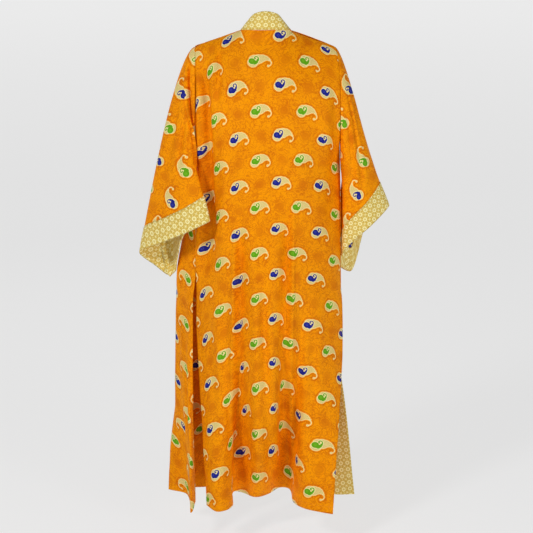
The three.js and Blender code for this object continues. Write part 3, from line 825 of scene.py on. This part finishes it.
def ringCloth():
    look = ringLook
    material, tree, shader, sums, across, up = clothMaterial("ringCloth", look)
    half = look["pitch"] / 2

    def spot(shiftX, shiftY):
        x = sums.math("WRAP", sums.minus(across, shiftX), half, -half)
        y = sums.math("WRAP", sums.minus(up, shiftY), half, -half)
        return sums.point(x, y), x, y

    p, x, y = spot(0, 0)
    turn = sums.math("ARCTAN2", y, x)
    petal = sums.times(sums.math("COSINE", sums.times(turn, look["petals"][0])), look["petals"][1])
    shapes = [sums.plus(sums.hoop(p, 0, 0, *look["hoop"]), petal), sums.disc(p, 0, 0, look["seed"])]
    p = spot(half, half)[0]
    away, small, large = look["cross"]
    shapes += [sums.disc(p, a * away, b * away, small) for a, b in ((-1, -1), (1, -1), (1, 1), (-1, 1))]
    shapes.append(sums.disc(p, 0, 0, large))
    shapes += [sums.disc(spot(*shift)[0], 0, 0, look["dot"]) for shift in ((half, 0), (0, half))]
    drawn = shapes[0]
    for shape in shapes[1:]:
        drawn = sums.math("MINIMUM", drawn, shape)
    plane = sums.point(across, up)
    shade = sums.noise(plane, 0.25, 2.0, 1.2)
    ground = sums.blend(sums.times(shade, 0.8), look["ground"], look["shade"])
    fleck = sums.math("ABSOLUTE", sums.minus(sums.noise(plane, 0.2, 1.0, 1.6), 0.5))
    ground = sums.blend(sums.times(sums.inside(sums.minus(fleck, 0.05), 0.03), 0.55),
                        ground, look["fleck"])
    colour = sums.blend(sums.times(sums.inside(drawn, 0.35), 0.9), ground, look["ring"])
    tree.links.new(colour, shader.inputs["Base Color"])
    weave(tree, shader, sums, across, up, look)
    return material


orangePrint = printedCloth()
mustardRings = ringCloth()
print("materials made")


stitch = {
    "pitch": 3.6,
    "length": 2.5,
    "thickness": 0.5,
    "lift": 0.7,  # above the middle of the single cloth
    "bandLift": 1.6,  # above the middle of a doubled strip
    "sides": 6,
    "profile": [  # shares of its length, width and thickness: along, wide, sunk
        (-0.5, 0.35, -0.55), (-0.3, 1.0, 0.0), (0.3, 1.0, 0.0), (0.5, 0.35, -0.55)],
}


# A row of stitches lying on the cloth, along a line with the cloth's normal at each point.
def sew(line, normals, lift=stitch["lift"]):
    run = lengthsAlong(line)
    spots = np.arange(stitch["pitch"] / 2, run[-1], stitch["pitch"])
    read = lambda values, where: np.stack([np.interp(where, run, values[:, k]) for k in range(3)], 1)
    centre = read(line, spots)
    ahead = unit(read(line, spots + 0.5) - read(line, spots - 0.5))
    out = read(normals, spots)
    out = unit(out - ahead * (out * ahead).sum(1, keepdims=True))
    beside = np.cross(ahead, out)
    sides, thick = stitch["sides"], stitch["thickness"]
    turns = (np.arange(sides) / sides * 2 * np.pi)[None, :, None]
    verts = []
    for along, wide, sink in stitch["profile"]:
        ring = (centre + out * (lift + sink * thick) + ahead * along * stitch["length"])[:, None]
        spoke = out[:, None] * np.sin(turns) + beside[:, None] * np.cos(turns)
        verts.append(ring + spoke * (thick / 2 * wide))
    verts = np.stack(verts, 1)  # stitch, ring, turn
    faces = [[ring * sides + k, ring * sides + (k + 1) % sides, (ring + 1) * sides + (k + 1) % sides,
              (ring + 1) * sides + k] for ring in range(len(verts[0]) - 1) for k in range(sides)]
    first = np.arange(len(spots)) * verts[0, ..., 0].size
    quads = (np.array(faces)[None] + first[:, None, None]).reshape(-1, 4).tolist()
    last = verts[0, ..., 0].size - sides
    ends = [[b + k for k in reversed(range(sides))] for b in first.tolist()]
    ends += [[b + last + k for k in range(sides)] for b in first.tolist()]
    return verts.reshape(-1, 3), quads + ends


# All the rows of one piece's stitches as one mesh.
def finishThreads(name, rows, material):
    points, faces, base = [], [], 0
    for verts, quads in rows:
        points.append(verts)
        faces += [[i + base for i in quad] for quad in quads]
        base += len(verts)
    piece = newPiece(name, np.vstack(points) / 1000, faces)
    piece.data.materials.append(material)
    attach(piece, "root")
    return piece


def threadMaterial(name, colour):
    material, tree, shader = newMaterial(name, {"Roughness": 0.5, "Sheen Weight": 0.2})
    sums = Sums(tree)
    place = tree.nodes.new("ShaderNodeTexCoord")
    strands = sums.noise(place.outputs["Object"], 900.0, 2.0)
    darker = tuple(c * 0.7 for c in colour[:3]) + (1.0,)
    tree.links.new(sums.blend(strands, darker, colour), shader.inputs["Base Color"])
    return material


orangeThread = threadMaterial("orangeThread", rgb(240, 138, 14))
mustardThread = threadMaterial("mustardThread", rgb(206, 172, 66))


# Gives a piece its cloth and thickness, and puts it in its node's place.
def dress(piece, material, thickness, node):
    piece.data.materials.append(material)
    shell = piece.modifiers.new("clothThickness", "SOLIDIFY")
    shell.thickness = thickness / 1000
    shell.offset = 0.0
    shell.use_even_offset = False
    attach(piece, "root")
    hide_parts(node)


def heightOf(sheet):
    return sheet[..., 2] + garment["neckHeight"]


backLook = {
    "thickness": 1.0,
    "seamSink": 0.9,  # how deep the cloth dips at its seams, and over what width
    "seamWidth": 3.5,
    "folds": [  # path in x and h, depth, width, lean
        ([(74, 860), (78, 640), (83, 420), (84, 200), (88, -10)], 21.0, 18, -0.62),
        ([(-66, 900), (-60, 640), (-56, 400), (-58, 160), (-62, -10)], 18.0, 17, 0.6),
        ([(8, 640), (2, 420), (-4, 240), (-8, 20)], 6.0, 13),
        ([(30, 700), (26, 480), (24, 260), (26, 20)], -6.5, 14),
        ([(140, 620), (128, 420), (122, 220), (120, 20)], -8.0, 17),
        ([(-108, 560), (-104, 360), (-106, 160), (-104, 10)], -8.0, 17),
        ([(178, 1268), (169, 1150), (166, 1000), (165, 860), (170, 720), (176, 600)], 22.0, 18, -0.5),
        ([(146, 1262), (145, 1120), (144, 980), (145, 840)], -6.0, 10),
        ([(128, 1278), (125, 1215), (129, 1110)], 6.5, 8),
        ([(-176, 1190), (-184, 1100), (-186, 960)], 3.2, 12),
        ([(-150, 1150), (-158, 1010), (-150, 850), (-140, 720)], -2.4, 18),
        ([(60, 1180), (66, 1020), (60, 860)], -1.8, 20),
        ([(-30, 1090), (-26, 930), (-30, 760)], 1.6, 18),
        ([(-120, 1230), (-60, 1180), (-20, 1175)], 1.3, 12),
        ([(100, 1240), (40, 1190), (10, 1185)], 1.3, 12),
        ([(186, 560), (176, 400), (168, 240)], 3.0, 10),
        ([(-168, 620), (-166, 420), (-160, 220), (-156, 60)], 2.6, 14),
        ([(60, 330), (56, 200), (58, 60)], -2.5, 11),
        ([(-32, 300), (-34, 160), (-30, 40)], -2.2, 10),
    ],
}
# How far the cloth's grain has shifted as the back hangs, millimetres.
backGrain = {
    "x": [-200, -95, -20, 50, 110, 200],
    "h": [0, 200, 400, 600, 800, 1000, 1160, 1320],
    "across": [[-60, -42, -36, -35, -16, 12], [-27, 0, -1, -12, -31, -23], [4, 13, 5, -10, -29, -25],
               [-16, 4, -12, -25, -34, -19], [-36, -14, -19, -24, -27, -22], [-37, -26, -25, -26, -27, -30],
               [-42, -35, -29, -24, -22, -29], [-59, -52, -34, -15, 3, -9]],
    "down": [[28, 57, 51, 49, 56, 55], [34, 52, 14, 26, 58, 64], [43, 41, 6, 17, 53, 73],
             [43, 31, 17, 30, 56, 74], [36, 35, 28, 38, 54, 69], [36, 35, 34, 41, 50, 57],
             [34, 32, 31, 36, 44, 48], [37, 25, 11, 19, 31, 42]],
}
back = backSheet()
fronts, bands = {}, {}
for side in (1, -1):
    fronts[side], bands[side] = frontSheets(side)
collar = collarSheet()
sleevesAt, cuffsAt = {}, {}
for side in (1, -1):
    sleevesAt[side], cuffsAt[side] = sleeveSheets(side, back, fronts[side])
print("sheets laid out")

backAcross, backDown = clothPlan(back)
backHigh = heightOf(back)
backWorked = pressFolds(back, back[..., 0], backHigh, backLook["folds"])
backWorked = ripple(backWorked, backAcross, backHigh, 11)
onSide = smoothStep((garment["slitTop"] - backHigh) / 60)  # below this the sides are open slits with a hem
dip = lambda away: backLook["seamSink"] * np.exp(-((away / backLook["seamWidth"]) ** 2))
sides = dip(backAcross - backAcross[:, :1]) + dip(backAcross - backAcross[:, -1:])
sink = -sides * (1 - onSide) - dip(backDown)
hemTurn = smoothStep((garment["hemDepth"] - backHigh) / 1.5) * 0.5
backWorked = backWorked + normalsOf(backWorked) * (sink + hemTurn)[..., None]
# the print hangs from the shoulders, so its rows drop a little towards the sides
hangStart = len(yokeShares) - 1
printDown = evened(backDown, backAcross, 90.0)
printDown[hangStart + 1:] = printDown[hangStart] + backHigh[hangStart].mean() - backHigh[hangStart + 1:]
backPlan = (backAcross + tableOver(backGrain, "across", back[..., 0], backHigh),
            tableOver(backGrain, "down", back[..., 0], backHigh) - printDown)
backPiece = meshFrom("backPanelCloth", backWorked, backPlan)
dress(backPiece, orangePrint, backLook["thickness"], "back_panel")

frontLook = {
    "thickness": 1.0,
    "printShift": {1: (-84, 95), -1: (30, 40)},
    "trueEdge": 14,  # next to the band the panel stays true over this width
    "folds": {1: [  # path in across-from-the-side-seam and h, depth, width
        ([(26, 420), (34, 260), (30, 90)], 3.5, 9),
        ([(44, 560), (52, 380), (64, 200), (70, 40)], -3.0, 12),
        ([(16, 330), (40, 240), (62, 150)], 2.2, 8),
        ([(110, 900), (116, 640), (130, 360), (140, 60)], 3.6, 16),
        ([(150, 700), (170, 420), (200, 100)], -3.6, 18),
        ([(210, 560), (240, 300), (262, 40)], 3.2, 16),
        ([(60, 1120), (90, 1020), (110, 880)], 2.2, 14),
        ([(20, 980), (60, 950), (110, 960)], 2.0, 12),
        ([(100, 1230), (80, 1120), (70, 1010)], -1.6, 14),
    ], -1: [
        ([(24, 900), (30, 640), (34, 360), (40, 60)], 3.2, 14),
        ([(70, 820), (78, 560), (90, 260), (96, 40)], -3.6, 16),
        ([(110, 700), (124, 420), (140, 120)], 3.6, 15),
        ([(160, 620), (178, 360), (200, 60)], -3.2, 14),
        ([(20, 985), (60, 950), (100, 955)], 2.0, 12),
        ([(60, 1120), (90, 1020), (100, 900)], 2.2, 14),
        ([(150, 1000), (120, 860), (96, 740)], 2.8, 14),
        ([(196, 640), (214, 420), (240, 180)], 2.4, 12),
        ([(100, 1230), (84, 1120), (70, 1010)], -1.6, 14),
    ]},
}
bandLook = {"thickness": 2.4, "bulge": 0.8}
frontPieces, frontAreas, bandAreas, bandPieces = {}, {}, {}, {}
for side, word in ((1, "left"), (-1, "right")):
    sheet = fronts[side]
    across, down = clothPlan(sheet, 0.0)
    worked = pressFolds(sheet, across, heightOf(sheet), frontLook["folds"][side])
    worked = ripple(worked, across, heightOf(sheet), 20 + side)
    free = smoothStep((across[:, -1:] - across) / frontLook["trueEdge"])[..., None]
    worked = sheet + (worked - sheet) * free
    shiftAcross, shiftUp = frontLook["printShift"][side]
    plan = (across + shiftAcross, shiftUp - down)
    piece = meshFrom("front" + word.capitalize() + "Cloth", worked, plan)
    dress(piece, orangePrint, frontLook["thickness"], "front_" + word)
    frontPieces[side] = piece
    frontAreas[side] = sheetArea(sheet)
    fronts[side] = worked

    band = bands[side]
    bandAcross, bandDown = clothPlan(band, 0.0)
    bulge = bandLook["bulge"] * np.sin(np.pi * np.clip(bandAcross / garment["bandWidth"], 0, 1))
    bandWorked = band + normalsOf(band) * bulge[..., None]
    bandPiece = meshFrom("frontBand" + word.capitalize(), bandWorked, slantedPlan(band, bandAcross, bandDown))
    dress(bandPiece, mustardRings, bandLook["thickness"], "front_band_" + word)
    bandPieces[side] = bandPiece
    bandAreas[side] = sheetArea(band)
    bands[side] = bandWorked
print("fronts and bands", frontAreas, bandAreas)

collarAcross, collarDown = clothPlan(collar)
collarPiece = meshFrom("collarBand", collar, (collarAcross, collarDown + collarLook["printShift"]))
dress(collarPiece, mustardRings, collarLook["thickness"], "collar")
print("collar", round(sheetArea(collar), 4), "m2")

sleeveLook = {
    "thickness": 1.0,
    "flat": {1: (0.62, 0.43), -1: (0.6, 0.35)},
    "grain": {1: 112, -1: 125},  # degrees of the print's run, from straight across
    "printSize": {1: 1.12, -1: 1.085},
    "printSqueeze": {1: 1.0, -1: 0.8},
    "printShift": {1: (65, 16), -1: (149.5, 1.5)},
    "tuck": 7.0,  # how far the right sleeve's inner edge hangs in behind the body
    "tuckFromX": (-234, 24),  # where the tuck begins, and over what width it grows
    "tuckFromY": (-4, 18),
    "foldMeasure": 600,  # the folds' paths count each way round, and the whole way down, as this
    "folds": {1: [  # path in round and down, depth, width
        ([(20, 16), (58, 36), (116, 50), (190, 54), (262, 60)], 14.0, 12),
        ([(20, 46), (61, 68), (122, 88), (200, 92), (250, 150), (250, 330)], -8.0, 13),
        ([(60, 10), (103, 24), (164, 34), (230, 30)], 7.0, 7),
        ([(60, 120), (70, 260), (78, 420)], 3.6, 14),
        ([(120, 150), (128, 250), (134, 380)], 4.0, 12),
        ([(20, 120), (24, 320), (30, 520)], -2.6, 18),
        ([(150, 90), (156, 300), (160, 480)], -2.8, 14),
        ([(300, 40), (320, 200), (330, 420)], 4.0, 20),
        ([(420, 60), (430, 260), (450, 470)], 3.4, 18),
        ([(520, 80), (530, 280), (540, 460)], -3.0, 18),
    ], -1: [
        ([(84, 60), (94, 240), (100, 440), (108, 560)], 4.6, 13),
        ([(130, 60), (140, 260), (150, 470)], 3.0, 12),
        ([(30, 120), (36, 320), (40, 520)], -2.4, 18),
        ([(300, 40), (320, 200), (330, 420)], 3.6, 20),
        ([(430, 60), (440, 260), (450, 470)], 3.0, 18),
        ([(520, 80), (530, 280), (540, 460)], -2.6, 18),
    ]},
}
cuffLook = {
    "thickness": 2.4,
    "bulge": 0.9,
    "printGrain": {1: 24, -1: 44},
    "printSize": {1: 1.12, -1: 0.95},
    "facingRows": {1: 24, -1: 15},  # the inner turning, in rows of the mesh up from the edge
    "facingGap": 2.3,
    "crease": [([(585, 330), (530, 405), (470, 520)], 11.0, 9, 0.5)],  # round and down, millimetres
    "creaseSteps": (4.85, 4.1),  # millimetres a column and a row
}


# Opens a tube flat about its outer fold, then reads it along a grain turned from straight across.
def tubePlan(sheet, grain, size, shift=(0, 0), squeeze=1.0):
    ring = np.concatenate([sheet, sheet[:, :1]], 1)
    half = sheet.shape[1] // 2
    middle = half // 2
    run = lengthsAlong(ring, 1)[..., None]
    seen = ring[..., ::2]  # x and height
    inward = unit(seen[:, half] - seen[:, 0])[:, None]
    fromMiddle = run[:, :half + 1] - run[:, middle:middle + 1]
    straight = np.linalg.norm(seen[:, :half + 1] - seen[:, middle:middle + 1], axis=2)[..., None]
    back = seen[:, :half + 1] + inward * (np.abs(fromMiddle) - straight) * np.sign(fromMiddle)
    down = unit(back[-1, 0] - back[0, 0])
    mirrored = 2 * (inward @ down)[..., None] * down - inward
    flat = np.concatenate([back, back[:, :1] + mirrored * (run[:, -1:] - run[:, half + 1:])], 1) / size
    flat[..., 0] /= squeeze
    alongX, alongZ = -math.cos(math.radians(grain)), math.sin(math.radians(grain))
    return (flat[..., 0] * alongX + flat[..., 1] * alongZ + shift[0],
            flat[..., 0] * alongZ - flat[..., 1] * alongX + shift[1])


# Carries a cuff's plan on round its edge and up the inner turning.
def turnedPlan(measure, facingRows):
    rows = len(measure)
    spots = np.arange(rows - 2, rows - 2 - facingRows, -1)[:, None]
    reach = measure[0] + (measure[0] - measure[-1]) * -spots / (rows - 1)
    inner = np.where(spots < 0, reach, measure[np.maximum(spots[:, 0], 0).astype(int)])
    return np.concatenate([measure, 2 * measure[-1] - inner])


# The cuff's inner turning: back up inside the band, then on up inside the sleeve.
def facingInside(sleeve, cuff, facingRows):
    tube = np.concatenate([sleeve[:-1], cuff[:-1]])[-facingRows:]
    return (tube - normalsOf(tube, closed=True) * cuffLook["facingGap"])[::-1]


# A crease across the left cuff's front, seen on its inside.
tube = np.concatenate([sleevesAt[1], cuffsAt[1][1:]])
tubeRow, tubeColumn = np.indices(tube.shape[:2])
stepAcross, stepDown = cuffLook["creaseSteps"]
tube = pressFolds(tube, tubeColumn * stepAcross, tubeRow * stepDown, cuffLook["crease"], closed=True)
sleevesAt[1], cuffsAt[1] = tube[:cells["sleeveRows"]], tube[cells["sleeveRows"] - 1:]
# The right sleeve's inner edge hangs in behind the body, and its cuff with it.
for part, rise in ((sleevesAt[-1], 0.0), (cuffsAt[-1], 1.0)):
    down = np.linspace(0, 1, len(part))[:, None] * (1 - rise) + rise
    (edgeX, wideX), (edgeY, wideY) = sleeveLook["tuckFromX"], sleeveLook["tuckFromY"]
    inEdge = smoothStep((part[..., 0] - edgeX) / wideX) * smoothStep((edgeY - part[..., 1]) / wideY)
    part[..., 0] += sleeveLook["tuck"] * inEdge * smoothStep(down / 0.25) * (0.85 + 0.35 * down)

sleevePieces, cuffPieces, sleeveAreas, cuffAreas = {}, {}, {}, {}
for side, word in ((1, "left"), (-1, "right")):
    sheet, cuff = sleevesAt[side], cuffsAt[side]
    row, column = np.indices(sheet.shape[:2])
    downShare, measure = row / (len(sheet) - 1), sleeveLook["foldMeasure"]
    worked = pressFolds(sheet, column / cells["round"] * measure, downShare * measure,
                        sleeveLook["folds"][side], closed=True)
    hold = (smoothStep(downShare / 0.06) * smoothStep((1 - downShare) / 0.04))[..., None]  # none at the seams
    worked = sheet + (worked - sheet) * hold
    plan = tubePlan(sheet, *(sleeveLook[key][side] for key in (
        "grain", "printSize", "printShift", "printSqueeze")))
    piece = meshFrom("sleeve" + word.capitalize() + "Cloth", worked, plan, closed=True)
    dress(piece, orangePrint, sleeveLook["thickness"], "sleeve_" + word)
    sleevePieces[side] = piece
    sleeveAreas[side] = sheetArea(sheet, closed=True)

    edge = np.linspace(0, 1, len(cuff))[:, None, None]
    cuffWorked = cuff + normalsOf(cuff, closed=True) * (0.5 + cuffLook["bulge"] * np.sin(np.pi * edge))
    facingRows = cuffLook["facingRows"][side]
    turned = np.concatenate([cuffWorked, facingInside(worked, cuffWorked, facingRows)])
    plan = tubePlan(cuff, cuffLook["printGrain"][side], cuffLook["printSize"][side])
    plan = [turnedPlan(measure, facingRows) for measure in plan]
    cuffPiece = meshFrom("cuff" + word.capitalize(), turned, plan, closed=True)
    dress(cuffPiece, mustardRings, cuffLook["thickness"], "cuff_" + word)
    cuffPieces[side] = cuffPiece
    cuffAreas[side] = sheetArea(turned, closed=True)
    cuffsAt[side] = cuffWorked
print("sleeves and cuffs", sleeveAreas, cuffAreas)


# A line down a sheet with its normals: a column, or one moved in from it by millimetres.
def columnLine(sheet, index, inset=0.0, rows=slice(None)):
    line = sheet[rows, index]
    inner = sheet[rows, index + (1 if index == 0 else -1)]
    return line + unit(inner - line) * inset, normalsOf(sheet)[rows, index]


# A line across a sheet with its normals.
def rowLine(sheet, index, closed=False):
    line, out = sheet[index], normalsOf(sheet, closed)[index]
    return (np.vstack([line, line[:1]]), np.vstack([out, out[:1]])) if closed else (line, out)


def heightRow(sheet, h):
    return int(np.argmin(np.abs(heightOf(sheet).mean(1) - h)))


openRows = slice(heightRow(backWorked, garment["slitTop"]), None)
backRows = [sew(*rowLine(backWorked, heightRow(backWorked, garment["hemDepth"])))]
backRows += [sew(*columnLine(backWorked, column, rows=openRows)) for column in (3, -4)]
backRows.append(sew(*rowLine(backWorked[:, 44:106], 2)))  # under the collar
backStitches = finishThreads("backStitches", backRows, orangeThread)

frontStitches, bandStitches, cuffStitches = {}, {}, {}
for side, word in ((1, "Left"), (-1, "Right")):
    sheet = fronts[side]
    rows = [sew(*rowLine(sheet, heightRow(sheet, garment["hemDepth"]))),
            sew(*columnLine(sheet, 3, rows=openRows))]
    frontStitches[side] = finishThreads("frontStitches" + word, rows, orangeThread)
for side, word in ((1, "Left"), (-1, "Right")):
    rows = [sew(*columnLine(bands[side], 0, 2.0), stitch["bandLift"])]
    bandStitches[side] = finishThreads("bandStitches" + word, rows, mustardThread)
for side, word in ((1, "Left"), (-1, "Right")):
    rows = [sew(*rowLine(cuffsAt[side], 1, closed=True), stitch["bandLift"])]
    cuffStitches[side] = finishThreads("cuffStitches" + word, rows, mustardThread)
rows = [sew(*rowLine(collar, 1), collarLook["stitchLift"])]
collarStitches = finishThreads("collarStitches", rows, mustardThread)
print("stitching done")


studio = {
    "floorGlow": 0.64,
    "wallGlow": 0.7,
    "glowHeight": 1.4,  # metres over which the one passes into the other
    "floorDrop": 18,  # below the lowest hem, millimetres
    "floorHalf": 12,
    "floor": [(9.0, 0), (-5.0, 0), (-6.2, 0.25), (-7.0, 1.0), (-7.2, 2.2), (-7.2, 8.0)],  # y and rise, metres
    "lights": {  # place and size in metres, watts
        "keyLight": ((2.2, 2.9, 1.6), 0.8, 74.0),
        "sideLight": ((-2.2, 2.7, -0.2), 1.0, 32.0),
        "frontLight": ((0.6, -3.4, 1.4), 2.4, 12.0),
    },
    "lightTarget": (0, 0, -0.6),
    "worldStrength": 0.2,
}


def studioFloor():
    z = -(garment["neckHeight"] + studio["floorDrop"]) / 1000
    half = studio["floorHalf"]
    curve = smoothLine([(y, z + rise, 0) for y, rise in studio["floor"]], perSpan=8)
    verts = [(x, y, h) for y, h, _ in curve for x in (-half, half)]
    faces = [(2 * i, 2 * i + 1, 2 * i + 3, 2 * i + 2) for i in range(len(curve) - 1)]
    floor = newPiece("studioFloor", verts, faces)
    material, tree, shader = newMaterial("paleFloor", {
        "Base Color": (0.26, 0.26, 0.26, 1), "Roughness": 0.9, "Specular IOR Level": 0.0,
        "Emission Color": (1, 1, 1, 1)})
    place = tree.nodes.new("ShaderNodeNewGeometry")
    split = tree.nodes.new("ShaderNodeSeparateXYZ")
    tree.links.new(place.outputs["Position"], split.inputs[0])
    glow = tree.nodes.new("ShaderNodeMapRange")
    tree.links.new(split.outputs[2], glow.inputs["Value"])
    glow.inputs["From Min"].default_value = z
    glow.inputs["From Max"].default_value = z + studio["glowHeight"]
    glow.inputs["To Min"].default_value = studio["floorGlow"]
    glow.inputs["To Max"].default_value = studio["wallGlow"]
    tree.links.new(glow.outputs["Result"], shader.inputs["Emission Strength"])
    floor.data.materials.append(material)


def softLight(name, place, size, power):
    data = bpy.data.lights.new(name, "AREA")
    data.energy = power
    data.shape = "DISK"
    data.size = size
    light = bpy.data.objects.new(name, data)
    light.location = place
    light.rotation_mode = "QUATERNION"
    light.rotation_quaternion = (Vector(place) - Vector(studio["lightTarget"])).to_track_quat("Z", "Y")
    bpy.context.collection.objects.link(light)


studioFloor()
for name, settings in studio["lights"].items():
    softLight(name, *settings)
world = bpy.data.worlds.new("studioAir")
world.use_nodes = True
world.node_tree.nodes["Background"].inputs[0].default_value = (1, 1, 1, 1)
world.node_tree.nodes["Background"].inputs[1].default_value = studio["worldStrength"]
bpy.context.scene.world = world
bpy.context.scene.view_settings.view_transform = "Standard"

view = {"lens": 94.69, "sensor": 36, "place": (0, 3.820, 0.041), "down": 10.2}  # degrees below level
cameraData = bpy.data.cameras.new("camera")
cameraData.lens = view["lens"]
cameraData.sensor_width = view["sensor"]
cameraData.dof.use_dof = False
camera = bpy.data.objects.new("camera", cameraData)
camera.location = view["place"]
camera.rotation_euler = (math.radians(90 - view["down"]), 0, math.radians(180))
bpy.context.collection.objects.link(camera)
bpy.context.scene.camera = camera
print("studio ready")
